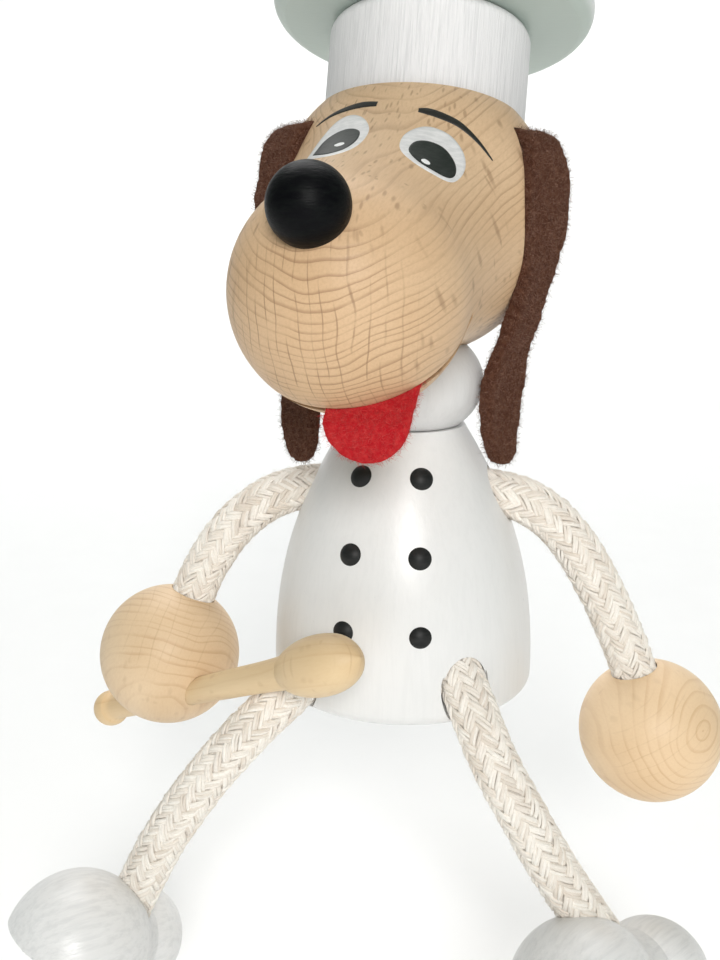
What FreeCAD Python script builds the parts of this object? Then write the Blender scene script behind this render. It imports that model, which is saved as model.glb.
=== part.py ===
import FreeCAD, Part
import math
import os
from FreeCAD import Placement, Rotation, Vector

# A hanging wooden puppet: a dog dressed as a cook, with cotton rope limbs.
# Lengths are in millimetres and angles in degrees. Parts are first placed in the body frame, whose origin
# is the centre of the torso's base, with +Z up, -Y to the front and +X to the puppet's left. save() then
# moves everything so that the centre of the hanging eye becomes the origin.

# ---- driving dimensions ----
TORSO_BASE_R = 23.0
TORSO_HEIGHT = 46.4
TORSO_EDGE = 2.4              # rounding of the base edge
BUTTON_ROWS = [(39.6, 20.5), (27.7, 17.0), (15.5, 16.5)]     # height, and half the angle between the columns
BUTTONS_TURN = -2.0
COLLAR_R = 13.4
COLLAR_HALF = 10.0            # half height of the bead before it is trimmed
COLLAR_Z = 53.6
COLLAR_GAP = 0.15             # between the turning collar and the top of the torso
DOWEL_R = 2.5                 # neck dowel
RUNNING_GAP = 0.05            # radial clearance of a turning fit
GLUE_GAP = 0.1                # clearance round a felt piece in its slot
MOUTH_GAP = 0.4               # clearance round a cord where it leaves the torso

NECK_POINT = Vector(0, 0, 58.0)   # the hat's axis meets the torso's axis here
HEAD_YAW = -9.8
HEAD_TILT = -13.6
CRANIUM_R = 23.4
CRANIUM = Vector(0, -2.2, 23.2)   # head frame: origin at the neck point, +Z along the hat
MUZZLE_R = 17.5
MUZZLE = Vector(0, -29.8, 4.8)
SADDLE_R = 50.0               # concave turning between cranium and muzzle
NOSE_R = 5.6
NOSE = Vector(0, -47.2, 12.7)
KERF_SLOPE = 55.0             # the mouth's saw cut, down towards the front
KERF_OFFSET = 6.7             # its plane lies this far below the muzzle's centre
KERF_START = -3.0             # along the cut, from the point nearest the muzzle's centre
KERF_HEIGHT = 1.4
TONGUE_ROOT = 7.7             # where the tongue begins inside the saw cut
TONGUE_WIDTH = 12.7
TONGUE_SHIFT = 5.6
TONGUE_THICKNESS = 1.3

HAT_SEAT = 39.2               # head frame heights
HAT_R = 17.0
HAT_TOP_SEAT = 55.0
BRIM_R = 27.1
BRIM_Z = 58.6
HAT_CROWN = 68.0
HAT_DOWEL_R = 4.0
EYE_RING_R = 4.5
EYE_WIRE_R = 0.8
EYE_Z = HAT_CROWN + 6.3

CORD_R = 4.0
BEND_SHARE = 0.45             # each bend takes this share of its shorter run
HAND_R = 12.5
BUTTON_R = 1.9
BUTTON_DOME = 0.9
SHOE_TOE_R = 12.2
SHOE_HEEL_R = 9.3
SHOE_LOBES = 17.0             # distance between the two lobes' centres
SHOE_WAIST_R = 8.3
SHOE_WAIST = 5.8              # distance from the heel's centre to the waist
SHOE_SINK = 1.0               # the sole is cut this far below the lobes' axis
SHOE_GRIP = 3.0               # the cord ends this far above the lobes' axis

HEAD_TURN = Rotation(Vector(0, 0, 1), HEAD_YAW).multiply(Rotation(Vector(1, 0, 0), HEAD_TILT))
HEAD = Placement(NECK_POINT, HEAD_TURN)
ORIGIN = HEAD.multVec(Vector(0, 0, EYE_Z))

# The cords' routes, from the bottom of the bore in the torso to the bottom of the socket.
CORD_ROUTES = {
    "left_arm": [(9.2, 0, 35.0), (17.9, 0, 35.0), (25.6, 0.1, 31.0), (31.0, 0.2, 24.4),
                 (35.6, 0.3, 16.2), (40.0, 0.5, 6.4), (43.6, 0.8, -3.4)],
    "right_arm": [(-8.0, 0, 35.0), (-18.5, 0, 35.0), (-27.9, -1.5, 30.2), (-34.2, -3.1, 22.6),
                  (-38.3, -5.1, 13.6), (-41.6, -6.8, 4.4)],
    "left_leg": [(9.8, -14.5, 10.7), (13.7, -20.4, 4.6), (17.4, -22.9, -3.7), (22.6, -24.2, -12.2),
                 (27.4, -24.6, -20.6), (33.6, -24.5, -29.7), (39.3, -24.4, -38.2)],
    "right_leg": [(-9.9, -12.2, 9.2), (-15.4, -17.8, 4.4), (-21.6, -21.6, -1.2), (-27.6, -23.4, -7.9),
                  (-33.2, -24.1, -15.4), (-38.6, -24.3, -24.0), (-43.0, -24.3, -33.0), (-46.9, -24.3, -41.2)],
}
HANDS = {"left": Vector(44.6, 0.8, -7.9), "right": Vector(-41.8, -7.0, 3.8)}
# Where each shoe's toe points and which way its upper faces.
TOES = {"left": Vector(-0.68, -0.70, 0.22), "right": Vector(-0.19, -0.84, 0.50)}
UPPERS = {"left": Vector(-0.56, 0, 0.83), "right": Vector(0.42, 0.39, 0.82)}
SPOON_START = Vector(-59.4, 1.4, -12.8)
SPOON_END = Vector(-1.5, -37.2, 18.2)
SPOON_KNOB_R = 3.4
SPOON_HANDLE_R = 2.3
SPOON_HANDLE = (6.4, 37.0)    # the handle is straight between these distances from the knob's end
SPOON_FLARE_R = 2.6
SPOON_BOWL_R = 4.7
SPOON_BOWL_LENGTH = 17.0


def save(node, shape):
    os.makedirs("parts", exist_ok=True)
    moved = shape.copy()
    moved.translate(ORIGIN * -1)
    moved.exportStep("parts/" + node + ".step")


def to_head(shape):
    placed = shape.copy()
    placed.Placement = HEAD.multiply(placed.Placement)
    return placed


def ball(centre, radius):
    return Part.makeSphere(radius, centre)


def rod(start, end, radius):
    return Part.makeCylinder(radius, start.distanceToPoint(end), start, end - start)


def frame_along(origin, direction):
    """A placement whose Z axis points along a direction."""
    return Placement(origin, Rotation(Vector(0, 0, 1), direction))


def lathe(edges, origin=Vector(0, 0, 0), direction=Vector(0, 0, 1)):
    """Turns a closed outline in the XZ plane about Z, then stands it on an axis."""
    solid = Part.Face(Part.Wire(edges)).revolve(Vector(0, 0, 0), Vector(0, 0, 1), 360)
    solid.Placement = frame_along(origin, direction).multiply(solid.Placement)
    return solid


def line(a, b):
    return Part.makeLine(Vector(a[0], 0, a[1]), Vector(b[0], 0, b[1]))


def arc(a, mid, b):
    return Part.Arc(*[Vector(p[0], 0, p[1]) for p in (a, mid, b)]).toShape()


def spline(points):
    curve = Part.BSplineCurve()
    curve.interpolate([Vector(p[0], 0, p[1]) for p in points])
    return curve.toShape()


def on_circle(centre, radius, angle):
    turn = math.radians(angle)
    return (centre[0] + radius * math.sin(turn), centre[1] + radius * math.cos(turn))


# ---- torso ----
def torso_outline():
    return [(TORSO_BASE_R, TORSO_EDGE), (22.8, 10.0), (21.5, 20.0), (18.9, 29.3),
            (14.8, 38.6), (10.4, TORSO_HEIGHT)]


def make_torso():
    profile = torso_outline()
    edge_mid = (TORSO_BASE_R - TORSO_EDGE * 0.293, TORSO_EDGE * 0.293)
    body = lathe([
        line((0, 0), (TORSO_BASE_R - TORSO_EDGE, 0)),
        arc((TORSO_BASE_R - TORSO_EDGE, 0), edge_mid, profile[0]),
        spline(profile),
        line(profile[-1], (0, TORSO_HEIGHT)),
        line((0, TORSO_HEIGHT), (0, 0)),
    ])
    neck_bore = Part.makeCylinder(DOWEL_R + RUNNING_GAP, 20, Vector(0, 0, TORSO_HEIGHT - 14))
    body = body.cut(neck_bore)
    for route in CORD_ROUTES.values():
        body = body.cut(rod(Vector(*route[0]), cord_root_end(route), CORD_R + RUNNING_GAP))
        body = body.cut(cord_tube(route, CORD_R + MOUTH_GAP))
    return body


def torso_radius(z):
    profile = torso_outline()
    for (r0, z0), (r1, z1) in zip(profile, profile[1:]):
        if z0 <= z <= z1:
            return r0 + (r1 - r0) * (z - z0) / (z1 - z0)
    return TORSO_BASE_R


def make_buttons(torso):
    """Six small domed buttons in two columns, seated on the coat's front."""
    domes = []
    for z, half_angle in BUTTON_ROWS:
        for side in (-1, 1):
            turn = math.radians(BUTTONS_TURN + side * half_angle)
            slope = math.atan2(torso_radius(z - 2) - torso_radius(z + 2), 4)
            out = Vector(math.sin(turn) * math.cos(slope), -math.cos(turn) * math.cos(slope), math.sin(slope))
            r = torso_radius(z)
            seat = Vector(r * math.sin(turn), -r * math.cos(turn), z)
            sphere_r = (BUTTON_R ** 2 + BUTTON_DOME ** 2) / (2 * BUTTON_DOME)
            dome = ball(seat + out * (BUTTON_DOME - sphere_r), sphere_r)
            cap = dome.common(rod(seat - out * 1.0, seat + out * 3.0, BUTTON_R))
            domes.append(cap.cut(torso))
    return Part.makeCompound(domes)


# ---- neck ----
def make_collar(head):
    bead = Part.makeSphere(COLLAR_R)
    squash = FreeCAD.Matrix()
    squash.scale(1, 1, COLLAR_HALF / COLLAR_R)
    bead = bead.transformGeometry(squash)
    bead.translate(Vector(0, 0, COLLAR_Z))
    below = Part.makeBox(60, 60, 40, Vector(-30, -30, TORSO_HEIGHT + COLLAR_GAP - 40))
    bead = bead.cut(below).cut(head)
    solids = sorted(bead.Solids, key=lambda s: s.Volume)
    return solids[-1].cut(neck_dowel_shape())


def neck_dowel_shape():
    return Part.makeCylinder(DOWEL_R, 36, Vector(0, 0, TORSO_HEIGHT - 12))


# ---- head ----
def head_profile():
    """Half outline of the turned head: u runs from the cranium's centre towards the muzzle."""
    length = (MUZZLE - CRANIUM).Length
    reach_back, reach_front = CRANIUM_R + SADDLE_R, MUZZLE_R + SADDLE_R
    u = (reach_back ** 2 - reach_front ** 2 + length ** 2) / (2 * length)
    v = math.sqrt(reach_back ** 2 - u ** 2)
    back_touch = (v * CRANIUM_R / reach_back, u * CRANIUM_R / reach_back)
    front_touch = (v * MUZZLE_R / reach_front, length - (length - u) * MUZZLE_R / reach_front)
    mid_back = math.atan2(back_touch[1] - u, back_touch[0] - v) % (2 * math.pi)
    mid_front = math.atan2(front_touch[1] - u, front_touch[0] - v) % (2 * math.pi)
    waist_angle = 0.5 * (mid_back + mid_front)
    waist = (v + SADDLE_R * math.cos(waist_angle), u + SADDLE_R * math.sin(waist_angle))
    back_dir = math.degrees(math.atan2(back_touch[0], back_touch[1]))
    front_dir = math.degrees(math.atan2(front_touch[0], front_touch[1] - length))
    return [
        arc((0, -CRANIUM_R), on_circle((0, 0), CRANIUM_R, 0.5 * (180 + back_dir)), back_touch),
        arc(back_touch, waist, front_touch),
        arc(front_touch, on_circle((0, length), MUZZLE_R, 0.5 * front_dir), (0, length + MUZZLE_R)),
        line((0, length + MUZZLE_R), (0, -CRANIUM_R)),
    ]


def kerf_frame():
    """In the head frame: X across, Y along the cut towards the lips, Z square to the cut."""
    slope = math.radians(KERF_SLOPE)
    along = Vector(0, -math.cos(slope), -math.sin(slope))
    square = Vector(0, -math.sin(slope), math.cos(slope))
    foot = MUZZLE - square * KERF_OFFSET
    return foot, along, square


def make_kerf(thickness, width, start, length, shift=0.0):
    foot, along, square = kerf_frame()
    across = Vector(1, 0, 0)
    corners = []
    for s, t in ((-1, start), (1, start), (1, start + length), (-1, start + length)):
        corners.append(foot + across * (shift + s * width / 2) + along * t - square * (thickness / 2))
    face = Part.Face(Part.makePolygon(corners + corners[:1]))
    return face.extrude(square * thickness)


def make_head():
    """In the head frame, with everything that is let into it cut out."""
    solid = lathe(head_profile(), CRANIUM, MUZZLE - CRANIUM)
    solid = solid.cut(Part.makeBox(80, 80, 40, Vector(-40, -40, HAT_SEAT)))
    solid = solid.cut(ball(NOSE, NOSE_R))
    solid = solid.cut(make_kerf(KERF_HEIGHT, 60, KERF_START, 20))
    solid = solid.cut(nose_peg_shape()).cut(hat_dowel_shape())
    solid = to_head(solid).cut(neck_dowel_shape())
    for side in EAR_PATHS:
        solid = solid.cut(make_ear(side, GLUE_GAP))
    return solid


def nose_peg_shape():
    inward = (MUZZLE - NOSE).normalize()
    return rod(NOSE + inward * 1.5, NOSE + inward * 14, 1.5)


def hat_dowel_shape():
    return Part.makeCylinder(HAT_DOWEL_R, 32, Vector(0, 0, HAT_SEAT - 12))


def make_nose():
    return to_head(ball(NOSE, NOSE_R).cut(nose_peg_shape()))


def make_tongue():
    """Red felt: flat in the saw cut, then bending down over the lip to a nearly round end."""
    foot, along, square = kerf_frame()
    start, lip = foot + along * TONGUE_ROOT, foot + along * 15.6
    down = Vector(0, 0.235, -0.972)
    bend, tip = lip + along * 2.2 + down * 0.8, lip + along * 2.2 + down * 6.6
    centre = [start, lip, bend, tip]
    half = TONGUE_THICKNESS / 2
    normals = [square, square, (square + Vector(0, -0.972, -0.235)).normalize(), Vector(0, -0.972, -0.235)]
    front = [c + n * half for c, n in zip(centre, normals)]
    back = [c - n * half for c, n in zip(centre, normals)]
    outline = Part.makePolygon(front + back[::-1] + front[:1])
    outline.translate(Vector(TONGUE_SHIFT - TONGUE_WIDTH / 2, 0, 0))
    strip = Part.Face(outline).extrude(Vector(TONGUE_WIDTH, 0, 0))
    radius = TONGUE_WIDTH / 2
    tip_centre = tip - down * (radius + 0.7)
    rounding = rod(tip_centre + Vector(TONGUE_SHIFT, -8, -2), tip_centre + Vector(TONGUE_SHIFT, 8, 2), radius)
    upper = Part.makeBox(TONGUE_WIDTH, 40, 40, Vector(TONGUE_SHIFT - radius, -60, tip_centre.z))
    return to_head(strip.common(rounding.fuse(upper)))


# ---- ears ----
EAR_TURNS = {"left": 33.0, "right": 46.0}     # each outer face is turned this far towards the front
EAR_THICKNESS = 2.4
EAR_SHIFT = 8.0               # along the strip's own width, backwards
EAR_PATHS = {
    "left": [(13.0, 90.6), (16.2, 92.6), (19.9, 92.2), (21.3, 87.2), (21.2, 80.0), (20.3, 72.5),
             (18.2, 65.0), (15.8, 58.0), (14.4, 50.5), (14.4, 45.0), (15.2, 39.8)],
    "right": [(11.5, 92.2), (14.5, 94.0), (17.8, 93.4), (19.5, 88.0), (19.5, 80.0), (18.9, 72.5),
              (17.8, 65.0), (16.6, 58.0), (16.2, 50.5), (16.2, 45.0), (16.2, 39.6)],
}
EAR_OUTLINE = [(4.2, 97.0), (4.5, 92.0), (5.2, 88.5), (6.1, 84.0), (6.0, 79.5), (5.1, 75.0), (4.1, 70.0),
               (3.6, 64.5), (4.1, 59.5), (4.8, 54.5), (4.7, 49.5), (4.0, 44.6), (2.4, 41.2), (0.0, 40.1)]


def ear_strip(side, gap):
    """A felt strip following its path in the XZ plane, cut to its outline across Y."""
    half, path = EAR_THICKNESS / 2 + gap, EAR_PATHS[side]
    inner, outer = [], []
    for i, (x, z) in enumerate(path):
        before, after = path[max(i - 1, 0)], path[min(i + 1, len(path) - 1)]
        along = Vector(after[0] - before[0], 0, after[1] - before[1]).normalize()
        across = Vector(-along.z, 0, along.x)
        inner.append((x - across.x * half, z - across.z * half))
        outer.append((x + across.x * half, z + across.z * half))
    edges = [spline(outer), line(outer[-1], inner[-1]), spline(inner[::-1]), line(inner[0], outer[0])]
    face = Part.Face(Part.Wire(edges))
    face.translate(Vector(0, EAR_SHIFT - 10, 0))
    return face.extrude(Vector(0, 20, 0)).common(ear_outline(gap))


def ear_outline(gap):
    """The flat felt's outline, standing in the YZ plane and thick enough to cut the bent strip."""
    tip = EAR_OUTLINE[-1]
    curve = []
    for side in (-1, 1):
        points = [Vector(0, EAR_SHIFT + side * (w + gap), z) for w, z in EAR_OUTLINE[:-1]]
        points.append(Vector(0, EAR_SHIFT, tip[1] - gap))
        edge = Part.BSplineCurve()
        edge.interpolate(points)
        curve.append(edge.toShape())
    ends = [e.valueAt(e.FirstParameter) for e in curve]
    curve.insert(1, Part.makeLine(ends[1], ends[0]))
    return Part.Face(Part.Wire(Part.sortEdges(curve)[0])).extrude(Vector(60, 0, 0))


def make_ear(side, gap=0.0):
    ear = ear_strip(side, gap)
    ear.rotate(Vector(0, 0, 0), Vector(0, 0, 1), -EAR_TURNS[side])
    return ear if side == "left" else ear.mirror(Vector(0, 0, 0), Vector(1, 0, 0))


# ---- hat ----
def make_hat_band():
    soft = 2.0
    mid = soft * 0.293
    solid = lathe([
        line((0, HAT_SEAT), (HAT_R, HAT_SEAT)),
        line((HAT_R, HAT_SEAT), (HAT_R, HAT_TOP_SEAT - soft)),
        arc((HAT_R, HAT_TOP_SEAT - soft), (HAT_R - mid, HAT_TOP_SEAT - mid), (HAT_R - soft, HAT_TOP_SEAT)),
        line((HAT_R - soft, HAT_TOP_SEAT), (0, HAT_TOP_SEAT)),
        line((0, HAT_TOP_SEAT), (0, HAT_SEAT)),
    ])
    return to_head(solid.cut(hat_dowel_shape()))


def make_hat_top():
    edge = 3.0
    edge_centre = (BRIM_R - edge, BRIM_Z)
    under, over = on_circle(edge_centre, edge, 165), on_circle(edge_centre, edge, 20)
    rise = HAT_CROWN - over[1]
    dome_r = (over[0] ** 2 + rise ** 2) / (2 * rise)
    halfway = over[0] / 2
    solid = lathe([
        line((0, HAT_TOP_SEAT), (HAT_R - 3, HAT_TOP_SEAT)),
        arc((HAT_R - 3, HAT_TOP_SEAT), (BRIM_R - 8.4, HAT_TOP_SEAT + 0.2), under),
        arc(under, (BRIM_R, BRIM_Z), over),
        arc(over, (halfway, HAT_CROWN - dome_r + math.sqrt(dome_r ** 2 - halfway ** 2)), (0, HAT_CROWN)),
        line((0, HAT_CROWN), (0, HAT_TOP_SEAT)),
    ])
    return to_head(solid.cut(hat_dowel_shape()).cut(eye_shank_shape()))


def eye_shank_shape():
    return Part.makeCylinder(1.1, 9, Vector(0, 0, HAT_CROWN - 7))


def make_hanging_eye():
    """A screw eye: a ring of wire on a shank that is driven into the crown of the hat."""
    ring = Part.makeTorus(EYE_RING_R, EYE_WIRE_R, Vector(0, 0, EYE_Z), Vector(1, 0, 0))
    flange = Part.makeCylinder(2.2, 0.6, Vector(0, 0, HAT_CROWN))
    neck = Part.makeCylinder(1.1, EYE_Z - EYE_RING_R - HAT_CROWN, Vector(0, 0, HAT_CROWN))
    return to_head(ring.fuse(eye_shank_shape()).fuse(neck).fuse(flange).removeSplitter())


# ---- limbs ----
def cord_root_end(route):
    """The cord is straight from the bottom of its bore to here, where its first bend starts."""
    start, corner, after = (Vector(*p) for p in route[:3])
    straight = (corner - start).Length - BEND_SHARE * min((corner - start).Length, (after - corner).Length)
    return start + (corner - start).normalize() * straight


def cord_path(route):
    """Straight runs joined by tangent arcs, beginning where the root ends. Also gives each arc's radius."""
    points = [Vector(*p) for p in route]
    edges, radii, at = [], [], cord_root_end(route)
    for before, corner, after in zip(points, points[1:], points[2:]):
        run_in, run_out = corner - before, after - corner
        reach = BEND_SHARE * min(run_in.Length, run_out.Length)
        turn = run_in.getAngle(run_out)
        run_in.normalize()
        run_out.normalize()
        enter, leave = corner - run_in * reach, corner + run_out * reach
        radius = reach / math.tan(turn / 2)
        inward = (run_out - run_in).normalize()
        centre = corner + inward * math.hypot(radius, reach)
        middle = centre - inward * radius
        if at.distanceToPoint(enter) > 1e-6:
            edges.append(Part.LineSegment(at, enter).toShape())
        edges.append(Part.Arc(enter, middle, leave).toShape())
        radii.append(radius)
        at = leave
    edges.append(Part.LineSegment(at, points[-1]).toShape())
    return Part.Wire(edges), radii


def cord_tube(route, radius):
    start, root_end = Vector(*route[0]), cord_root_end(route)
    circle = Part.Wire(Part.makeCircle(radius, root_end, root_end - start))
    return cord_path(route)[0].makePipeShell([circle], True, False)


def make_cord(name):
    route = CORD_ROUTES[name]
    start, root_end = Vector(*route[0]), cord_root_end(route)
    root = rod(start, root_end, CORD_R)
    path, radii = cord_path(route)
    tube = cord_tube(route, CORD_R)
    expected = math.pi * CORD_R ** 2 * path.Length
    total = path.Length + start.distanceToPoint(root_end)
    print(name, "length", round(total, 2), "radii", [round(r, 1) for r in radii],
          "volume ratio", round(tube.Volume / expected, 4))
    return root, tube


def make_hand(side):
    socket = cord_tube(CORD_ROUTES[side + "_arm"], CORD_R + RUNNING_GAP)
    return ball(HANDS[side], HAND_R).cut(socket)


def make_spoon():
    """Turned like a knob, a handle and an egg, then cut flat and hollowed on the side away from the front."""
    axis = SPOON_END - SPOON_START
    length = axis.Length
    bowl_start = length - SPOON_BOWL_LENGTH
    knob_centre = (0, SPOON_KNOB_R)
    knob_edge = on_circle(knob_centre, SPOON_KNOB_R, 65)
    handle_start, handle_end = SPOON_HANDLE
    bowl_mid = bowl_start + 9.0
    edges = [
        arc((0, 0), on_circle(knob_centre, SPOON_KNOB_R, 120), knob_edge),
        spline([knob_edge, (SPOON_HANDLE_R + 0.15, handle_start - 0.8), (SPOON_HANDLE_R, handle_start)]),
        line((SPOON_HANDLE_R, handle_start), (SPOON_HANDLE_R, handle_end)),
        spline([(SPOON_HANDLE_R, handle_end), (SPOON_HANDLE_R + 0.1, handle_end + 4),
                (SPOON_FLARE_R, bowl_start - 4), (SPOON_FLARE_R + 0.2, bowl_start)]),
        spline([(SPOON_FLARE_R + 0.2, bowl_start), (SPOON_BOWL_R - 0.5, bowl_start + 3.6),
                (SPOON_BOWL_R, bowl_mid), (SPOON_BOWL_R - 1.2, length - 3.0), (0, length)]),
        line((0, length), (0, 0)),
    ]
    solid = lathe(edges, SPOON_START, axis)
    unit = Vector(axis).normalize()
    back = Vector(0.25, 1.0, -0.1)
    back = (back - unit * back.dot(unit)).normalize()
    bowl_centre = SPOON_START + unit * bowl_mid
    flat = rod(bowl_centre + back * 1.7, bowl_centre + back * 12, 10.8)
    hollow = ball(bowl_centre + back * 8.2, 8.0)
    return solid.cut(flat).cut(hollow)


def spoon_bore():
    unit = (SPOON_END - SPOON_START).normalize()
    return rod(SPOON_START, SPOON_START + unit * SPOON_HANDLE[1], SPOON_HANDLE_R + RUNNING_GAP)


def make_shoe(side):
    """Two turned lobes with a waist between them, cut to a flat sole. The cord is let into the waist."""
    route = CORD_ROUTES[side + "_leg"]
    before, end = Vector(*route[-2]), Vector(*route[-1])
    waist_point = end - (before - end).normalize() * SHOE_GRIP
    toe = Vector(TOES[side]).normalize()
    up = UPPERS[side] - toe * UPPERS[side].dot(toe)
    up.normalize()
    heel_centre = (0, 0)
    toe_centre = (0, SHOE_LOBES)
    heel_touch = on_circle(heel_centre, SHOE_HEEL_R, 62)
    toe_touch = on_circle(toe_centre, SHOE_TOE_R, 122)
    edges = [
        arc((0, -SHOE_HEEL_R), on_circle(heel_centre, SHOE_HEEL_R, 120), heel_touch),
        arc(heel_touch, (SHOE_WAIST_R, SHOE_WAIST), toe_touch),
        arc(toe_touch, on_circle(toe_centre, SHOE_TOE_R, 60), (0, SHOE_LOBES + SHOE_TOE_R)),
        line((0, SHOE_LOBES + SHOE_TOE_R), (0, -SHOE_HEEL_R)),
    ]
    solid = lathe(edges, waist_point - toe * SHOE_WAIST, toe)
    sole = waist_point - up * SHOE_SINK
    solid = solid.cut(rod(sole, sole - up * 30, 60))
    return solid.cut(cord_tube(route, CORD_R + RUNNING_GAP))


# ---- build ----
head = make_head()
torso = make_torso()
save("head", head)
save("torso", torso)
save("neck_collar", make_collar(head))
save("neck_dowel", neck_dowel_shape())
save("nose", make_nose())
save("nose_peg", to_head(nose_peg_shape()))
save("tongue", make_tongue())
save("left_ear", make_ear("left"))
save("right_ear", make_ear("right"))
save("hat_band", make_hat_band())
save("hat_top", make_hat_top())
save("hat_dowel", to_head(hat_dowel_shape()))
save("hanging_eye", make_hanging_eye())
save("coat_buttons", make_buttons(torso))
for limb in CORD_ROUTES:
    root, tube = make_cord(limb)
    save(limb + "_cord_root", root)
    save(limb + "_cord", tube)
for side in ("left", "right"):
    hand = make_hand(side)
    if side == "right":
        hand = hand.cut(spoon_bore())
    save(side + "_hand", hand)
    save(side + "_shoe", make_shoe(side))
save("spoon", make_spoon())
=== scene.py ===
import math

import bpy
import numpy as np
from mathutils import Euler, Matrix, Vector, noise
from mathutils.bvhtree import BVHTree


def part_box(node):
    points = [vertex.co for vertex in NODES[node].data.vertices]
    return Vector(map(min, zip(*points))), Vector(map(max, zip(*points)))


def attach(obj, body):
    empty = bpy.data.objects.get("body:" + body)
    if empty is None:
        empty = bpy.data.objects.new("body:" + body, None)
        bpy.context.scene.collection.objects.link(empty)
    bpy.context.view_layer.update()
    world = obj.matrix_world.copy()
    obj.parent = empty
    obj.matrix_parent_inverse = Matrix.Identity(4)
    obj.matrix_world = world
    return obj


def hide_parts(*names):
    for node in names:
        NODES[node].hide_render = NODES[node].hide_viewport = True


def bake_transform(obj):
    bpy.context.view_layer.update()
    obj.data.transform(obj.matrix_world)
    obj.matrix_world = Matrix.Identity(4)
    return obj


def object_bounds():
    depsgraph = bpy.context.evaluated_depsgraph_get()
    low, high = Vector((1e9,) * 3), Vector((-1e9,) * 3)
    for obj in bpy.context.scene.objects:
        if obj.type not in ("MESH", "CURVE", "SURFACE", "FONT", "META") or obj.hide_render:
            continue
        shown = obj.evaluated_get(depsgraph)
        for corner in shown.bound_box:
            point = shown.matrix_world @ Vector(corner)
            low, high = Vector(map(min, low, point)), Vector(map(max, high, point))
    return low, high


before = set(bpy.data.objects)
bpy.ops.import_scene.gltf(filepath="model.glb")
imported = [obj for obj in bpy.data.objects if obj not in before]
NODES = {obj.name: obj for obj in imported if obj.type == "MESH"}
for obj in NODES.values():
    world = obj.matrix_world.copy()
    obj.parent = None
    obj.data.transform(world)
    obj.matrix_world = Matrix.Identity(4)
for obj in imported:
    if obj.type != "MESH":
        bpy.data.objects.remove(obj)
CAD_BOX = [list(corner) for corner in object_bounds()]
MM = 0.001

# The part's body frame (torso base centre) and head frame, in the part's own numbers, in mm.
NECK_POINT = Vector((0, 0, 58.0))
HEAD_TURN = Euler((0, 0, math.radians(-9.8))).to_matrix() @ Euler((math.radians(-13.6), 0, 0)).to_matrix()
EYE_Z = 74.3
ORIGIN = NECK_POINT + HEAD_TURN @ Vector((0, 0, EYE_Z))
CRANIUM = Vector((0, -2.2, 23.2))
MUZZLE = Vector((0, -29.8, 4.8))


def from_body(p):
    """A point in the body frame, in mm, to the row frame, in metres."""
    return (Vector(p) - ORIGIN) * MM


def from_head(p):
    return from_body(NECK_POINT + HEAD_TURN @ Vector(p))


# ---- small node helper ----
class Paint:
    """A material with its Principled shader, and short calls for adding nodes."""

    def __init__(self, name, roughness=0.5, **sockets):
        self.mat = bpy.data.materials.new(name)
        self.mat.use_nodes = True
        self.tree = self.mat.node_tree
        self.bsdf = self.tree.nodes["Principled BSDF"]
        self.bsdf.inputs["Roughness"].default_value = roughness
        for key, value in sockets.items():
            self.bsdf.inputs[key.replace("_", " ")].default_value = value

    def node(self, kind, *inputs, **props):
        made = self.tree.nodes.new("ShaderNode" + kind)
        for key, value in props.items():
            setattr(made, key, value)
        for i, value in enumerate(inputs):
            if value is None:
                continue
            if isinstance(value, bpy.types.NodeSocket):
                self.tree.links.new(value, made.inputs[i])
            else:
                made.inputs[i].default_value = value
        return made

    def math(self, op, *values, clamp=False):
        return self.node("Math", *values, operation=op, use_clamp=clamp).outputs[0]

    def ramp(self, value, low, high, to_low=0.0, to_high=1.0):
        made = self.node("MapRange", value, low, high, to_low, to_high, interpolation_type="SMOOTHSTEP")
        return made.outputs[0]

    def mix(self, factor, a, b):
        made = self.tree.nodes.new("ShaderNodeMix")
        made.data_type = "RGBA"
        for socket, value in ((made.inputs[0], factor), (made.inputs[6], a), (made.inputs[7], b)):
            if isinstance(value, bpy.types.NodeSocket):
                self.tree.links.new(value, socket)
            elif socket == made.inputs[0]:
                socket.default_value = value
            else:
                socket.default_value = (*value, 1)
        return made.outputs[2]

    def colour(self, socket):
        self.tree.links.new(socket, self.bsdf.inputs["Base Color"])

    def bump(self, height, distance, strength=1.0):
        made = self.tree.nodes.new("ShaderNodeBump")
        made.inputs["Strength"].default_value = strength
        made.inputs["Distance"].default_value = distance
        self.tree.links.new(height, made.inputs["Height"])
        self.tree.links.new(made.outputs[0], self.bsdf.inputs["Normal"])

    def rough(self, socket):
        self.tree.links.new(socket, self.bsdf.inputs["Roughness"])

    def placed(self, centre, grain, up):
        """Object coordinates in mm, turned so that Z runs along the grain and Y towards the pith."""
        z = Vector(grain).normalized()
        y = Vector(up) - z * z.dot(Vector(up))
        y.normalize()
        turn = Matrix((y.cross(z), y, z))
        made = self.node("Mapping", self.node("TexCoord").outputs["Object"])
        made.inputs["Rotation"].default_value = turn.to_euler()
        made.inputs["Scale"].default_value = (1000, 1000, 1000)
        made.inputs["Location"].default_value = -(turn @ (Vector(centre) * 1000))
        return made.outputs[0], z

    def stretched(self, vector, scale):
        return self.node("VectorMath", vector, scale, operation="MULTIPLY").outputs[0]

    def noise(self, vector, scale, detail=2.0, roughness=0.5):
        made = self.tree.nodes.new("ShaderNodeTexNoise")
        made.inputs["Scale"].default_value = scale
        made.inputs["Detail"].default_value = detail
        made.inputs["Roughness"].default_value = roughness
        self.tree.links.new(vector, made.inputs["Vector"])
        return made.outputs[0]


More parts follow.
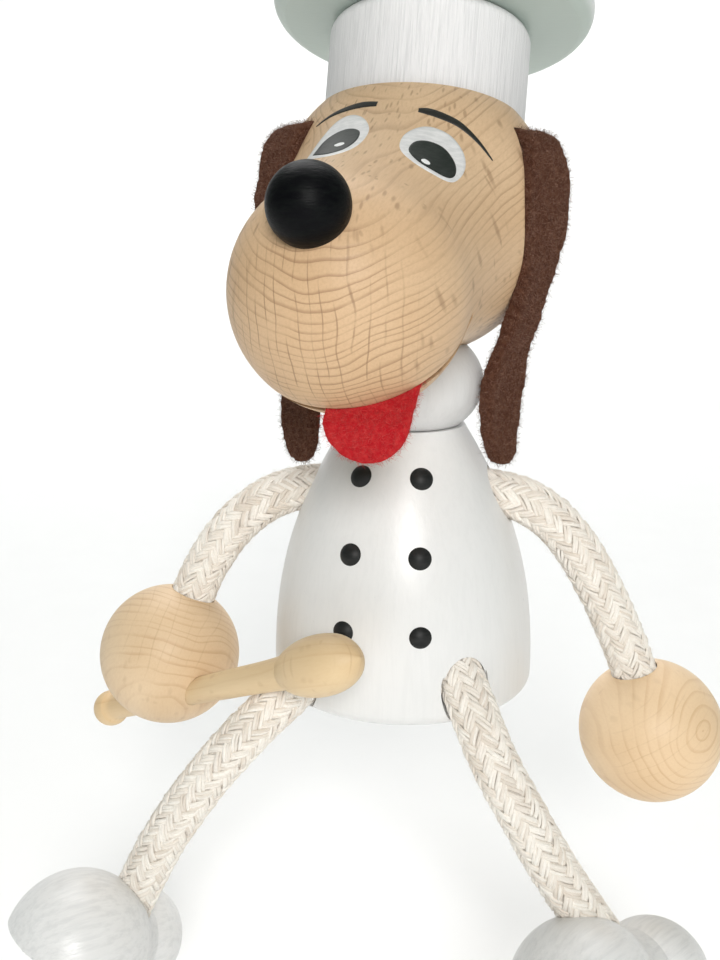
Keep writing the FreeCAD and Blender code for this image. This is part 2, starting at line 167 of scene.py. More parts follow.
def beech(name, centre, grain, pith_side, light, line, pith=55.0, ring=1.7, ray=0.55, contrast=1.0):
    """Beech: growth rings round a distant pith, with short dark rays that are flecks on long grain and
    straight lines on end grain."""
    p = Paint(name, roughness=0.46, Specular_IOR_Level=0.35)
    vector, z = p.placed(centre, grain, pith_side)
    sway = p.node("TexNoise", p.stretched(vector, (0.05, 0.05, 0.016)), noise_dimensions="3D")
    sway.inputs["Scale"].default_value = 1.0
    sway.inputs["Detail"].default_value = 2.5
    offset = p.node("VectorMath", sway.outputs[1], (0.5, 0.5, 0.5), operation="SUBTRACT").outputs[0]
    bent = p.node("VectorMath", p.stretched(offset, (5, 8, 0)), vector, operation="ADD").outputs[0]
    parts = p.node("SeparateXYZ", bent)
    x, y, along = parts.outputs
    to_pith = p.math("SUBTRACT", pith, y)
    radius = p.math("SQRT", p.math("ADD", p.math("MULTIPLY", x, x), p.math("MULTIPLY", to_pith, to_pith)))
    arc = p.math("MULTIPLY", p.math("ARCTAN2", x, to_pith), pith)

    # growth rings of uneven width, each ending in a thin darker line
    wander = p.node("TexNoise", None, p.math("MULTIPLY", radius, 0.23), noise_dimensions="1D")
    wander.inputs["Scale"].default_value = 1.0
    phase = p.math("ADD", p.math("DIVIDE", radius, ring), p.math("MULTIPLY", wander.outputs[0], 1.6))
    part = p.math("FRACT", phase)
    edge = p.math("MULTIPLY", p.ramp(part, 0.62, 0.94), p.ramp(part, 1.0, 0.95))
    patchy = p.ramp(p.noise(p.stretched(vector, (0.12, 0.12, 0.03)), 1.0, 3.0), 0.32, 0.62, 0.25, 1.0)
    edge = p.math("MULTIPLY", edge, patchy)

    # rays
    grid = p.node("CombineXYZ", p.math("DIVIDE", arc, 1.35), p.math("DIVIDE", radius, 17.0),
                  p.math("DIVIDE", along, 3.4)).outputs[0]
    cells = p.node("TexVoronoi", grid)
    cells.inputs["Scale"].default_value = 1.0
    fleck = p.ramp(cells.outputs["Distance"], 0.30, 0.10)
    grid2 = p.node("CombineXYZ", p.math("DIVIDE", arc, 2.7), p.math("DIVIDE", radius, 40.0),
                   p.math("DIVIDE", along, 2.6)).outputs[0]
    cells2 = p.node("TexVoronoi", grid2)
    cells2.inputs["Scale"].default_value = 1.0
    long_ray = p.ramp(cells2.outputs["Distance"], 0.17, 0.05)
    flecks = p.math("MAXIMUM", p.math("MULTIPLY", fleck, 0.62), p.math("MULTIPLY", long_ray, 0.55))

    # on end grain the rays are straight lines that fade in and out
    facing = p.node("VectorMath", p.node("TexCoord").outputs["Normal"], tuple(z), operation="DOT_PRODUCT")
    end = p.ramp(p.math("ABSOLUTE", facing.outputs["Value"]), 0.45, 0.90)
    drift = p.noise(p.stretched(vector, (0.10, 0.04, 0.06)), 1.0)
    across = p.math("ADD", p.math("DIVIDE", x, 1.75), p.math("MULTIPLY", drift, 2.2))
    near = p.math("ABSOLUTE", p.math("SUBTRACT", p.math("FRACT", across), 0.5))
    fade = p.ramp(p.noise(p.stretched(vector, (0.7, 0.10, 0.3)), 1.0, 2.0), 0.36, 0.60)
    lines = p.math("MULTIPLY", p.ramp(near, 0.085, 0.012), p.math("MULTIPLY", fade, 0.8))
    long_grain = p.math("MULTIPLY", flecks, p.math("SUBTRACT", 1.0, end))
    rays = p.math("ADD", long_grain, p.math("MULTIPLY", lines, end))
    rays = p.math("MULTIPLY", rays, ray)

    fibre = p.noise(p.stretched(vector, (3.2, 3.2, 0.32)), 1.0, 3.0, 0.65)
    cloud = p.noise(p.stretched(vector, (0.07, 0.07, 0.025)), 1.0, 2.0)

    pale = p.mix(p.ramp(cloud, 0.3, 0.7), light, tuple(c * k for c, k in zip(light, (0.93, 0.89, 0.84))))
    pale = p.mix(p.math("MULTIPLY", end, 0.34), pale, tuple(c * k for c, k in zip(light, (0.86, 0.78, 0.68))))
    ring_amount = p.math("MULTIPLY", edge, p.math("MULTIPLY_ADD", end, 0.20, 0.42))
    ring_amount = p.math("MULTIPLY", ring_amount, contrast)
    tone = p.mix(ring_amount, pale, line)
    tone = p.mix(p.math("MULTIPLY", p.ramp(fibre, 0.35, 0.75), 0.16 * contrast), tone, line)
    tone = p.mix(rays, tone, tuple(c * 0.82 for c in line))
    p.colour(tone)
    height = p.math("ADD", p.math("MULTIPLY", edge, -0.5), p.math("MULTIPLY", rays, -0.8))
    height = p.math("ADD", height, p.math("MULTIPLY", fibre, 0.5))
    p.bump(height, 0.00006, 0.8)
    p.rough(p.math("MULTIPLY_ADD", fibre, 0.14, 0.40))
    return p.mat


def white_paint(name, centre, grain, side, tint=(0.80, 0.80, 0.795), streak=0.5, fine=1.7, rough=0.36,
                depth=0.00005, under=None):
    """White satin paint over turned wood: the grain still shows as fine streaks. Where under is given, paint that
    faces away from it gets painted shade and painted reflection: a duller, greener grey standing in for the shadow
    and the green light reflected there."""
    p = Paint(name, roughness=rough, Specular_IOR_Level=0.5)
    vector, z = p.placed(centre, grain, side)
    lines = p.noise(p.stretched(vector, (fine, fine, 0.10)), 1.0, 4.0, 0.62)
    hair = p.noise(p.stretched(vector, (fine * 2.6, fine * 2.6, 0.22)), 1.0, 2.0, 0.5)
    broad = p.noise(p.stretched(vector, (0.14, 0.14, 0.05)), 1.0, 2.0)
    worn = p.math("MULTIPLY", p.ramp(lines, 0.42, 0.68), streak)
    tone = p.mix(worn, tint, tuple(c * k for c, k in zip(tint, (0.80, 0.805, 0.81))))
    tone = p.mix(p.math("MULTIPLY", p.ramp(hair, 0.5, 0.75), streak * 0.5), tone, (0.90, 0.90, 0.895))
    tone = p.mix(p.math("MULTIPLY", p.ramp(broad, 0.3, 0.7), 0.12), tone, tuple(c * 0.9 for c in tint))
    # painted shade: surfaces facing away from under are mixed towards a dark green-grey in place of shadow and
    # reflected green light
    if under is not None:
        normal = p.node("TexCoord").outputs["Normal"]
        facing = p.node("VectorMath", normal, tuple(under), operation="DOT_PRODUCT")
        tone = p.mix(p.ramp(facing.outputs["Value"], -0.1, -0.75), tone, (0.45, 0.52, 0.475))
    p.colour(tone)
    height = p.math("ADD", lines, p.math("MULTIPLY", hair, 0.5))
    p.bump(height, depth, 0.9)
    p.rough(p.math("MULTIPLY_ADD", hair, 0.22, rough - 0.08))
    return p.mat


def felt_paint(name, deep, fibre, sheen):
    p = Paint(name, roughness=0.95, Specular_IOR_Level=0.12, Sheen_Weight=sheen, Sheen_Roughness=0.55)
    p.bsdf.inputs["Sheen Tint"].default_value = (*fibre, 1)
    vector = p.stretched(p.node("TexCoord").outputs["Object"], (1000, 1000, 1000))
    matted = p.noise(vector, 1.1, 5.0, 0.7)
    fluff = p.noise(vector, 4.2, 3.0, 0.6)
    tone = p.mix(p.ramp(matted, 0.38, 0.68), deep, tuple(0.62 * d + 0.38 * f for d, f in zip(deep, fibre)))
    tone = p.mix(p.ramp(fluff, 0.58, 0.82, 0.0, 0.45), tone, fibre)
    p.colour(tone)
    p.bump(p.math("ADD", matted, p.math("MULTIPLY", fluff, 0.6)), 0.0005, 0.9)
    return p.mat


def plain(name, tone, dark, roughness, scale=0.6, bump=0.00003, **sockets):
    """Brushed paint or bare metal: two close tones in soft strokes."""
    p = Paint(name, roughness=roughness, **sockets)
    vector = p.stretched(p.node("TexCoord").outputs["Object"], (1000, 1000, 1000))
    strokes = p.noise(p.stretched(vector, (0.5, 1.0, 2.2)), scale, 4.0, 0.6)
    p.colour(p.mix(p.ramp(strokes, 0.35, 0.7), dark, tone))
    p.bump(strokes, bump, 0.8)
    p.rough(p.math("MULTIPLY_ADD", strokes, 0.25, roughness - 0.12))
    return p.mat


def dress(node, mat):
    """Gives a carried CAD node its material."""
    materials = NODES[node].data.materials
    materials.clear()
    materials.append(mat)


# ---- mesh helpers ----
def new_object(name, verts, faces, mats, face_mats=None):
    mesh = bpy.data.meshes.new(name)
    mesh.from_pydata([tuple(v) for v in verts], [], faces)
    mesh.update()
    for mat in mats:
        mesh.materials.append(mat)
    if face_mats is not None:
        mesh.polygons.foreach_set("material_index", np.asarray(face_mats, np.int32))
    mesh.polygons.foreach_set("use_smooth", np.ones(len(mesh.polygons), bool))
    obj = bpy.data.objects.new(name, mesh)
    bpy.context.scene.collection.objects.link(obj)
    return obj


def add_tone(obj, values):
    layer = obj.data.attributes.new("tone", "FLOAT", "POINT")
    layer.data.foreach_set("value", np.asarray(values, np.float32))


def fibres(points, normals, along, count, length, width, lift, seed):
    """Loose hairs on a surface, each a bent ribbon of two quads. Returns vertices and faces."""
    rng = np.random.default_rng(seed)
    pick = rng.integers(0, len(points), count)
    base, out = points[pick], normals[pick]
    swirl = rng.normal(size=(count, 3))
    flat = swirl - out * np.sum(swirl * out, axis=1)[:, None] + along[pick] * rng.normal(size=(count, 1))
    flat /= np.linalg.norm(flat, axis=1)[:, None] + 1e-9
    size = length * rng.uniform(0.45, 1.3, (count, 1))
    rise = lift * rng.uniform(0.2, 1.4, (count, 1))
    middle = base + flat * size * 0.5 + out * rise * size
    tip = base + flat * size * (0.75 + 0.3 * rng.random((count, 1)))
    tip = tip + out * rise * size * rng.uniform(0.3, 2.0, (count, 1))
    side = np.cross(flat, out)
    side += 0.8 * rng.normal(size=(count, 3))
    side /= np.linalg.norm(side, axis=1)[:, None] + 1e-9
    half = side * width / 2
    root = base - out * 0.1 * length
    rows = [root - half, root + half, middle - half * 0.9, middle + half * 0.9, tip - half * 0.3, tip + half * 0.3]
    verts = np.stack(rows, axis=1).reshape(-1, 3)
    first = np.arange(count)[:, None] * 6
    quads = np.concatenate([first + [0, 1, 3, 2], first + [2, 3, 5, 4]]).tolist()
    return verts, quads


FELT_FIBRE = 1.0 * MM         # length of a loose fibre
FELT_FIBRE_WIDTH = 0.042 * MM


def felt_piece(name, node, mats, voxel, wobble, hairs, seed):
    """A felt strip: the CAD strip with soft edges, an uneven surface and loose fibres."""
    source = NODES[node]
    rough = bpy.data.objects.new("work", source.data.copy())
    bpy.context.scene.collection.objects.link(rough)
    remesh = rough.modifiers.new("Remesh", "REMESH")
    remesh.mode = "VOXEL"
    remesh.voxel_size = voxel
    smooth = rough.modifiers.new("Smooth", "SMOOTH")
    smooth.factor = 0.5
    smooth.iterations = 5
    bpy.context.view_layer.update()
    mesh = bpy.data.meshes.new_from_object(rough.evaluated_get(bpy.context.evaluated_depsgraph_get()))
    bpy.data.objects.remove(rough)
    count = len(mesh.vertices)
    points, normals = np.zeros(count * 3), np.zeros(count * 3)
    mesh.vertices.foreach_get("co", points)
    mesh.vertices.foreach_get("normal", normals)
    points, normals = points.reshape(-1, 3), normals.reshape(-1, 3)
    moved = np.zeros(count)
    for i, p in enumerate(points):
        q = Vector(p) * 1000
        swell = noise.noise(q * 0.22 + Vector((seed, 0, 0))) * 2.0
        moved[i] = swell + noise.noise(q * 1.3) * 0.8 + noise.noise(q * 3.1) * 0.35
    points = points + normals * (moved * wobble)[:, None]
    faces = [list(f.vertices) for f in mesh.polygons]
    bpy.data.meshes.remove(mesh)
    felt = new_object(name, points, faces, mats[:1])
    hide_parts(node)
    strands = fibres(points, normals, np.zeros_like(points), hairs, FELT_FIBRE, FELT_FIBRE_WIDTH, 0.42, seed)
    loose = new_object(name + "_fibres", *strands, mats[1:])
    return felt, loose


# ---- braided cords ----
CORD_R = 4.0 * MM
BUNDLES = 12                # yarn bundles in each direction
YARNS = 3                   # yarns in a bundle
LAY = 27.0 * MM             # length of one turn
STEP = 0.75 * MM            # between two cross-sections of the braid
CORE_SIDES = 20
YARN_SIDES = 6
FLUFF_ROWS = 24             # rows round the cord where loose fibres may start
FLUFF = 2200                # loose fibres on a cord
ROUTES = {
    "left_arm": [(9.2, 0, 35.0), (17.9, 0, 35.0), (25.6, 0.1, 31.0), (31.0, 0.2, 24.4),
                 (35.6, 0.3, 16.2), (40.0, 0.5, 6.4), (43.6, 0.8, -3.4)],
    "right_arm": [(-8.0, 0, 35.0), (-18.5, 0, 35.0), (-27.9, -1.5, 30.2), (-34.2, -3.1, 22.6),
                  (-38.3, -5.1, 13.6), (-41.6, -6.8, 4.4)],
    "left_leg": [(9.8, -14.5, 10.7), (13.7, -20.4, 4.6), (17.4, -22.9, -3.7), (22.6, -24.2, -12.2),
                 (27.4, -24.6, -20.6), (33.6, -24.5, -29.7), (39.3, -24.4, -38.2)],
    "right_leg": [(-9.9, -12.2, 9.2), (-15.4, -17.8, 4.4), (-21.6, -21.6, -1.2), (-27.6, -23.4, -7.9),
                  (-33.2, -24.1, -15.4), (-38.6, -24.3, -24.0), (-43.0, -24.3, -33.0), (-46.9, -24.3, -41.2)],
}


def centreline(name, route):
    """Points along the smooth curve that the route's points steer, read from the curve itself."""
    curve = bpy.data.curves.new(name, "CURVE")
    curve.dimensions = "3D"
    curve.resolution_u = 24
    spline = curve.splines.new("NURBS")
    spline.points.add(len(route) - 1)
    for point, place in zip(spline.points, route):
        point.co = (*from_body(place), 1)
    spline.order_u = 3
    spline.use_endpoint_u = True
    holder = bpy.data.objects.new(name, curve)
    bpy.context.scene.collection.objects.link(holder)
    bpy.context.view_layer.update()
    mesh = bpy.data.meshes.new_from_object(holder)
    path = np.array([v.co for v in mesh.vertices], float)
    bpy.data.objects.remove(holder)
    bpy.data.curves.remove(curve)
    bpy.data.meshes.remove(mesh)
    return path


def even(path, step):
    """The path at even steps, with a frame that doesn't twist: places, tangents, normals, binormals."""
    gaps = np.linalg.norm(np.diff(path, axis=0), axis=1)
    at = np.concatenate([[0], np.cumsum(gaps)])
    count = max(8, int(at[-1] / step))
    s = np.linspace(0, at[-1], count)
    places = np.stack([np.interp(s, at, path[:, k]) for k in range(3)], axis=1)
    tangents = np.gradient(places, axis=0)
    tangents /= np.linalg.norm(tangents, axis=1)[:, None]
    normals = np.zeros_like(tangents)
    n = np.cross(tangents[0], [0.3, 1.0, 0.2])
    for i, t in enumerate(tangents):
        n = n - t * np.dot(n, t)
        n = n / np.linalg.norm(n)
        normals[i] = n
    return s, places, tangents, normals, np.cross(tangents, normals)


def tube(centre, across, up, wide, high, sides):
    """A closed-section tube round given points: vertices and faces."""
    turn = np.linspace(0, 2 * math.pi, sides, endpoint=False)
    ring = across[:, None, :] * (np.cos(turn) * wide)[None, :, None]
    ring = ring + up[:, None, :] * (np.sin(turn) * high)[None, :, None]
    verts = (centre[:, None, :] + ring).reshape(-1, 3)
    i = np.arange(len(centre) - 1)[:, None] * sides
    k = np.arange(sides)[None, :]
    k2 = (k + 1) % sides
    quads = np.stack([i + k, i + k2, i + sides + k2, i + sides + k], axis=-1).reshape(-1, 4)
    return verts, quads


def braid(name, route, mats, seed):
    """A tubular cotton braid, each bundle passing over two and under two, round a soft core."""
    rng = np.random.default_rng(seed)
    path = centreline(name + "_line", route)
    s, places, tangents, normals, sides = even(path, STEP)
    per_turn = 2 * math.pi / BUNDLES
    core = CORD_R - 0.80 * MM
    verts, faces, tones, kinds = [], [], [], []
    total = 0

    def put(v, f, tone, kind):
        nonlocal total
        verts.append(v)
        faces.append(f + total)
        tones.append(np.full(len(v), tone))
        kinds.extend([kind] * len(f))
        total += len(v)

    put(*tube(places, normals, sides, core, core, CORE_SIDES), 0.6, 0)
    middle = CORD_R - 0.62 * MM
    for way in (1, -1):
        for bundle in range(BUNDLES):
            shade = rng.uniform(0.35, 0.75)
            jitter = rng.uniform(0.03, 0.075)
            for yarn in range(YARNS):
                off = (yarn - (YARNS - 1) / 2) * 0.30
                angle = per_turn * (bundle + off) + way * 2 * math.pi * s / LAY
                angle = angle + jitter * np.sin(s / (rng.uniform(1.5, 2.6) * MM) + rng.uniform(0, 6.28))
                other = angle / per_turn + way * s / LAY * BUNDLES
                over = way * np.cos(math.pi / 2 * (bundle + other - 0.5))
                wave = np.tanh(2.4 * over) / math.tanh(2.4)
                crown = 0.10 * MM * math.cos(math.pi * off) * np.clip(over, 0, 1)
                reach = middle + 0.30 * MM * wave + crown + 0.03 * MM * rng.normal()
                out = normals * np.cos(angle)[:, None] + sides * np.sin(angle)[:, None]
                centre = places + out * reach[:, None]
                run = np.gradient(centre, axis=0)
                run /= np.linalg.norm(run, axis=1)[:, None]
                across = np.cross(run, out)
                across /= np.linalg.norm(across, axis=1)[:, None]
                up = np.cross(across, run)
                thick = rng.uniform(0.8, 1.15)
                v, f = tube(centre, across, up, 0.34 * MM * thick, 0.28 * MM * thick, YARN_SIDES)
                put(v, f, shade + rng.uniform(-0.3, 0.3), 0)
    ways = [normals * math.cos(a) + sides * math.sin(a) for a in np.linspace(0, 6.1, FLUFF_ROWS)]
    skin = np.concatenate([places + out * (CORD_R - 0.1 * MM) for out in ways])
    along = np.tile(tangents, (FLUFF_ROWS, 1)) * 1.2
    v, f = fibres(skin, np.concatenate(ways), along, FLUFF, 1.3 * MM, 0.03 * MM, 0.34, seed + 5)
    put(v, np.array(f), 0.75, 1)
    obj = new_object(name, np.concatenate(verts), np.concatenate(faces).tolist(), mats, kinds)
    add_tone(obj, np.concatenate(tones))
    return obj, path


def cotton():
    p = Paint("cotton_yarn", roughness=0.78, Specular_IOR_Level=0.25, Sheen_Weight=0.25, Sheen_Roughness=0.4)
    tone = p.node("Attribute", attribute_name="tone").outputs["Fac"]
    vector = p.stretched(p.node("TexCoord").outputs["Object"], (1000, 1000, 1000))
    strands = p.noise(vector, 2.6, 4.0, 0.65)
    patch = p.noise(vector, 0.35, 2.0)
    light = p.mix(p.ramp(tone, 0.1, 0.9), (0.76, 0.685, 0.60), (0.95, 0.91, 0.845))
    light = p.mix(p.ramp(strands, 0.45, 0.75, 0.0, 0.30), light, (0.70, 0.62, 0.53))
    light = p.mix(p.ramp(patch, 0.35, 0.7, 0.0, 0.18), light, (0.88, 0.79, 0.72))
    p.colour(light)
    p.bump(strands, 0.00012, 0.9)
    fluff = Paint("cotton_fluff", roughness=0.8, Specular_IOR_Level=0.2)
    soft = fluff.noise(fluff.node("TexCoord").outputs["Object"], 900.0, 2.0)
    fluff.colour(fluff.mix(soft, (0.86, 0.82, 0.75), (0.93, 0.91, 0.87)))
    return [p.mat, fluff.mat]


COTTON = cotton()
# limb: the body at its far end, its length in metres, and the first and last of its route points
LIMBS = {
    "left_arm": ("left_hand", 0.055, 2, 5),
    "right_arm": ("right_hand", 0.050, 2, 4),
    "left_leg": ("left_foot", 0.058, 2, 5),
    "right_leg": ("right_foot", 0.065, 2, 6),
}
for number, (limb, (end_body, length, first, last)) in enumerate(LIMBS.items()):
    route = ROUTES[limb]
    rope, path = braid(limb + "_rope", route, COTTON, 11 + number)
    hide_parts(limb + "_cord", limb + "_cord_root")
    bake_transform(rope)

# ---- wood ----
BEECH_LIGHT = (0.700, 0.497, 0.312)
BEECH_LINE = (0.300, 0.165, 0.085)
axis = (from_head(MUZZLE) - from_head(CRANIUM)).normalized()
up = (from_head((0, 0, 1)) - from_head((0, 0, 0))).normalized()
dress("head", beech("beech_head", from_head(MUZZLE), axis, up, BEECH_LIGHT, BEECH_LINE,
                    pith=48, ring=1.25, ray=0.75))


def ball_centre(node):
    low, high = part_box(node)
    return (low + high) / 2


dress("left_hand", beech("beech_left_hand", ball_centre("left_hand"), (0.25, -1.0, 0.1), (0.8, 0, 0.6),
                         (0.88, 0.675, 0.45), (0.60, 0.37, 0.19), pith=7, ring=1.7, ray=0.25, contrast=0.75))
dress("right_hand", beech("beech_right_hand", ball_centre("right_hand"), (0.35, -0.55, 0.75), (0.2, 0.5, 1.0),
                          (0.79, 0.61, 0.41), (0.50, 0.30, 0.155),
                          pith=30, ring=1.5, ray=0.28, contrast=0.75))
spoon_axis = (from_body((-1.5, -37.2, 18.2)) - from_body((-59.4, 1.4, -12.8))).normalized()
dress("spoon", beech("beech_spoon", ball_centre("spoon"), spoon_axis, (0, 0.3, 1),
                     (0.78, 0.60, 0.37), (0.58, 0.36, 0.18), pith=60, ring=2.4, ray=0.35, contrast=0.6))
plug = beech("beech_dowel", ball_centre("hat_dowel"), up, (1, 0, 0), BEECH_LIGHT, BEECH_LINE)
for node in ("hat_dowel", "neck_dowel", "nose_peg"):
    dress(node, plug)

# ---- painted wood ----
dress("torso", white_paint("paint_coat", ball_centre("torso"), (0, 0, 1), (0, 1, 0),
                           streak=0.13, fine=1.2, rough=0.30, depth=0.00003))
# the collar's white paint is toned down to grey as painted shade, for the shadow the head casts on it
dress("neck_collar", white_paint("paint_collar", ball_centre("neck_collar"), (0, 0, 1), (0, 1, 0),
                                 tint=(0.69, 0.685, 0.68), streak=0.2, fine=0.9))
dress("hat_band", white_paint("paint_band", ball_centre("hat_band"), up, (0, 1, 0),
                              tint=(0.80, 0.79, 0.80), streak=0.7, fine=3.0, rough=0.45, depth=0.00014))
# the brim's white paint is tinted slightly green (painted reflection), and its underside gets painted shade
# through under=up
dress("hat_top", white_paint("paint_brim", ball_centre("hat_top"), (1, 0.2, 0), (0, 0, 1),
                             tint=(0.78, 0.80, 0.79), streak=0.3, fine=1.1, under=up))
SHOE_GRAINS = {"left": (-0.5, -0.6, 0), "right": (-0.8, -0.6, 0)}
for side, grain in SHOE_GRAINS.items():
    shoe = side + "_shoe"
    dress(shoe, white_paint("paint_" + shoe, ball_centre(shoe), grain, (0, 0, 1),
                            streak=0.5, fine=1.0, rough=0.3, depth=0.0001))
dress("coat_buttons", plain("paint_buttons", (0.018, 0.018, 0.018), (0.008, 0.009, 0.009), 0.5,
                            Specular_IOR_Level=0.3))
dress("nose", plain("paint_nose", (0.004, 0.005, 0.005), (0.002, 0.002, 0.003), 0.42, scale=0.9, bump=0.00012,
                    Specular_IOR_Level=0.08))
dress("hanging_eye", plain("wire", (0.60, 0.60, 0.58), (0.42, 0.42, 0.41), 0.32, Metallic=1.0))

# ---- painted eyes and brows ----
head_mesh = NODES["head"].data
HEAD_SKIN = BVHTree.FromPolygons([v.co for v in head_mesh.vertices], [p.vertices for p in head_mesh.polygons])
FACE_CENTRE = from_head(CRANIUM)


def on_face(azimuth, elevation, lift):
    """The point of the head's skin in a direction from the cranium's centre, in degrees, raised a little."""
    a, e = math.radians(azimuth), math.radians(elevation)
    way = HEAD_TURN @ Vector((math.sin(a) * math.cos(e), -math.cos(a) * math.cos(e), math.sin(e)))
    place, normal, _, _ = HEAD_SKIN.ray_cast(FACE_CENTRE + way * 60 * MM, -way)
    return place + normal * (lift * MM)


def between(p0, p1, p2, p3, t):
    """The place a share t of the way from p1 to p2, on a smooth curve through all four."""
    return 0.5 * ((2 * p1) + (p2 - p0) * t + (2 * p0 - 5 * p1 + 4 * p2 - p3) * t ** 2
                  + (3 * p1 - p0 - 3 * p2 + p3) * t ** 3)


def rounded(points, corner=False):
    """A smooth closed outline through a few points, with a corner at the first one if asked."""
    pts = [Vector(p) for p in points]
    count = len(pts)
    outline = []
    for i in range(count):
        p0, p1, p2, p3 = pts[i - 1], pts[i], pts[(i + 1) % count], pts[(i + 2) % count]
        if corner and i == 0:
            p0 = p1
        if corner and i == count - 1:
            p3 = p2
        outline += [between(p0, p1, p2, p3, k / 10) for k in range(10)]
    return outline


SKIRT = -0.04                 # where the edge of a skin of paint sinks into the wood, in mm


def patch(name, outline, lift, mat):
    """A thin skin of paint inside an outline on the face."""
    middle = sum((Vector(p) for p in outline), Vector((0, 0))) / len(outline)
    rings = [1.0, 0.985, 0.9, 0.75, 0.6, 0.45, 0.3, 0.15]
    lifts = [SKIRT] + [lift] * (len(rings) - 1)
    verts, faces = [], []
    for share, raised in zip(rings, lifts):
        for p in outline:
            q = middle + (Vector(p) - middle) * share
            verts.append(on_face(q.x, q.y, raised))
    verts.append(on_face(middle.x, middle.y, lift))
    n = len(outline)
    for r in range(len(rings) - 1):
        for i in range(n):
            j = (i + 1) % n
            faces.append((r * n + i, r * n + j, (r + 1) * n + j, (r + 1) * n + i))
    last = (len(rings) - 1) * n
    for i in range(n):
        faces.append((last + i, last + (i + 1) % n, len(verts) - 1))
    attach(new_object(name, verts, faces, [mat]), "head")


def stroke(name, line, widths, lift, mat):
    """A tapering brush stroke along a few points."""
    pts = [Vector(p) for p in line]
    upper, lower = [], []
    for i in range(len(pts) - 1):
        p0, p1, p2, p3 = pts[max(i - 1, 0)], pts[i], pts[i + 1], pts[min(i + 2, len(pts) - 1)]
        steps = 12 if i < len(pts) - 2 else 13
        for k in range(steps):
            t = k / 12
            at = between(p0, p1, p2, p3, t)
            ahead = (p2 - p1).normalized()
            half = (widths[i] * (1 - t) + widths[i + 1] * t) / 2
            side = Vector((-ahead.y, ahead.x)) * half
            upper.append(at + side)
            lower.append(at - side)
    verts, faces = [], []
    rows = len(upper)
    section = [(1.0, SKIRT), (0.86, lift), (0.3, lift + 0.02), (-0.3, lift + 0.02), (-0.86, lift), (-1.0, SKIRT)]
    for share, raised in section:
        for a, b in zip(upper, lower):
            q = (a + b) / 2 + (a - b) / 2 * share
            verts.append(on_face(q.x, q.y, raised))
    for r in range(len(section) - 1):
        for i in range(rows - 1):
            faces.append((r * rows + i, r * rows + i + 1, (r + 1) * rows + i + 1, (r + 1) * rows + i))
    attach(new_object(name, verts, faces, [mat]), "head")


EYE_WHITE = plain("paint_eye_white", (0.80, 0.79, 0.79), (0.66, 0.66, 0.66), 0.45, scale=0.8, bump=0.00005)
PUPIL = plain("paint_pupil", (0.024, 0.028, 0.025), (0.006, 0.010, 0.008), 0.46, scale=1.3, bump=0.00005)
BROW = plain("paint_brow", (0.022, 0.022, 0.018), (0.012, 0.012, 0.010), 0.5, scale=1.3)
GLINT = plain("paint_glint", (0.90, 0.90, 0.90), (0.82, 0.82, 0.82), 0.4)
# outlines as (degrees to the puppet's left, degrees up) seen from the cranium's centre
RIGHT_EYE = [(-19, 2.6), (-20, 12), (-17.5, 21), (-11.5, 24), (-4.5, 21), (0.2, 13.5), (-0.8, 4.6), (-7, 1.2)]
RIGHT_PUPIL = [(-16.3, 3.8), (-16.3, 10.3), (-12.5, 14.2), (-7.5, 15.2), (-3, 13), (-1.9, 8), (-4, 3.6),
               (-9, 2.3)]
RIGHT_GLINT = [(-9.0, 6.4), (-7.5, 7.3), (-5.8, 7.1), (-5.5, 6.2), (-7.2, 5.5)]
LEFT_EYE = [(11.7, 5.5), (12.3, 11.8), (16.5, 16.4), (22, 17.8), (29, 15.2), (33.5, 8.5), (33, 1.5),
            (28, -3.9), (21, -2.5), (15, 1)]
LEFT_PUPIL = [(14.4, 4.8), (16, 9), (20.5, 10.4), (26, 8.6), (29.5, 3.5), (29.3, -1), (26.5, -2.9),
              (21.5, -1.5), (17, 1)]
LEFT_GLINT = [(18.3, 1.4), (19.5, 2.0), (20.9, 1.0), (20.7, 0.2), (19.2, 0.4)]
patch("right_eye_white", rounded(RIGHT_EYE, True), 0.05, EYE_WHITE)
patch("right_pupil", rounded(RIGHT_PUPIL, True), 0.09, PUPIL)
patch("right_glint", rounded(RIGHT_GLINT), 0.13, GLINT)
patch("left_eye_white", rounded(LEFT_EYE), 0.05, EYE_WHITE)
patch("left_pupil", rounded(LEFT_PUPIL), 0.09, PUPIL)
patch("left_glint", rounded(LEFT_GLINT), 0.13, GLINT)
stroke("right_brow", [(-30, 22.6), (-24, 26), (-17.4, 28), (-9, 29.4), (-1.5, 29.2)],
       [0.5, 1.9, 3.0, 3.8, 2.9], 0.06, BROW)
stroke("left_brow", [(16.2, 26), (20, 25.8), (25, 24.6), (32.4, 21.8), (39.4, 16.4), (46, 9.4)],
       [2.2, 3.9, 4.0, 3.4, 2.1, 0.5], 0.06, BROW)

# ---- felt ----
BROWN = felt_paint("felt_brown", (0.058, 0.019, 0.010), (0.22, 0.11, 0.07), 0.55)
BROWN_HAIR = plain("felt_brown_hair", (0.34, 0.18, 0.125), (0.085, 0.032, 0.02), 0.8, scale=2.5)
RED = felt_paint("felt_red", (0.50, 0.010, 0.018), (0.74, 0.08, 0.07), 0.3)
RED_HAIR = plain("felt_red_hair", (0.75, 0.09, 0.08), (0.42, 0.015, 0.02), 0.8, scale=2.5)


def hang_felt(name, node, mats, voxel, wobble, hairs, seed):
    """A felt piece held at the head, with its placing baked into its mesh and its fibres' mesh."""
    felt, loose = felt_piece(name, node, mats, voxel, wobble, hairs, seed)
    for piece in (felt, loose):
        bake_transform(piece)


for side, seed in (("left", 3), ("right", 4)):
    hang_felt(side + "_ear_felt", side + "_ear", [BROWN, BROWN_HAIR], 0.00045, 0.00020, 16000, seed)
hang_felt("tongue_felt", "tongue", [RED, RED_HAIR], 0.0003, 0.00008, 4200, 7)

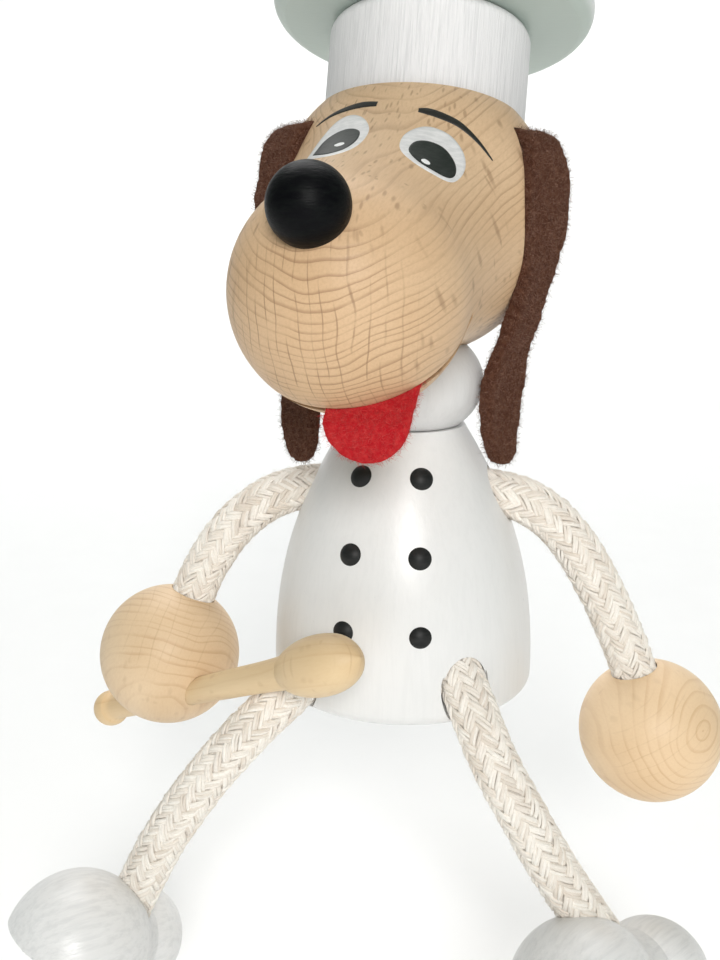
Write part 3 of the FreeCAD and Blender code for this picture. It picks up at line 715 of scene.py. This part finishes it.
# ---- floor, light and camera ----
SWEEP_START, SWEEP_RADIUS = 0.45, 1.3      # where the floor starts to curve up into the backdrop
floor_z = CAD_BOX[0][2] - 0.012
profile = [(-1.6, 0.0), (SWEEP_START, 0.0)]
for k in range(1, 25):
    turn = k / 24 * math.pi / 2
    rise = SWEEP_RADIUS - SWEEP_RADIUS * math.cos(turn)
    profile.append((SWEEP_START + SWEEP_RADIUS * math.sin(turn), rise))
profile.append((SWEEP_START + SWEEP_RADIUS, 3.0))
verts = [(x, y, floor_z + z) for x in (-3.0, 3.0) for y, z in profile]
rows = len(profile)
faces = [(i, i + 1, rows + i + 1, rows + i) for i in range(rows - 1)]
pale = Paint("floor_paper", roughness=0.9, Specular_IOR_Level=0.1)
grainy = pale.noise(pale.node("TexCoord").outputs["Object"], 60.0, 3.0)
pale.colour(pale.mix(grainy, (0.93, 0.93, 0.93), (0.95, 0.95, 0.95)))
floor = new_object("floor", verts, faces, [pale.mat])

world = bpy.data.worlds.new("studio")
bpy.context.scene.world = world
world.use_nodes = True
background = world.node_tree.nodes["Background"]
background.inputs["Color"].default_value = (0.88, 1.0, 0.93, 1)
background.inputs["Strength"].default_value = 0.22


def area_light(name, place, target, size, power, tint):
    data = bpy.data.lights.new(name, "AREA")
    data.shape = "DISK"
    data.size = size
    data.energy = power
    data.color = tint
    lamp = bpy.data.objects.new(name, data)
    bpy.context.scene.collection.objects.link(lamp)
    lamp.location = place
    lamp.rotation_euler = (Vector(target) - Vector(place)).to_track_quat("-Z", "Y").to_euler()


middle = (Vector(CAD_BOX[0]) + Vector(CAD_BOX[1])) / 2
area_light("key", (0.16, -0.70, 0.22), middle, 0.28, 3.9, (1.0, 0.98, 0.965))
area_light("backdrop_light", (-0.25, 0.95, 1.35), (-0.25, 0.85, floor_z), 1.6, 24.0, (1.0, 0.985, 0.99))

view = bpy.data.cameras.new("photo_view")
view.lens = 38.6
view.sensor_width = 36
view.clip_start = 0.005
camera = bpy.data.objects.new("photo_view", view)
bpy.context.scene.collection.objects.link(camera)
camera.location = from_body((22.0, -174.7, 76.8))
camera.rotation_euler = (math.radians(77.0), 0, math.radians(9.7))
bpy.context.scene.camera = camera
bpy.context.scene.view_settings.view_transform = "Standard"
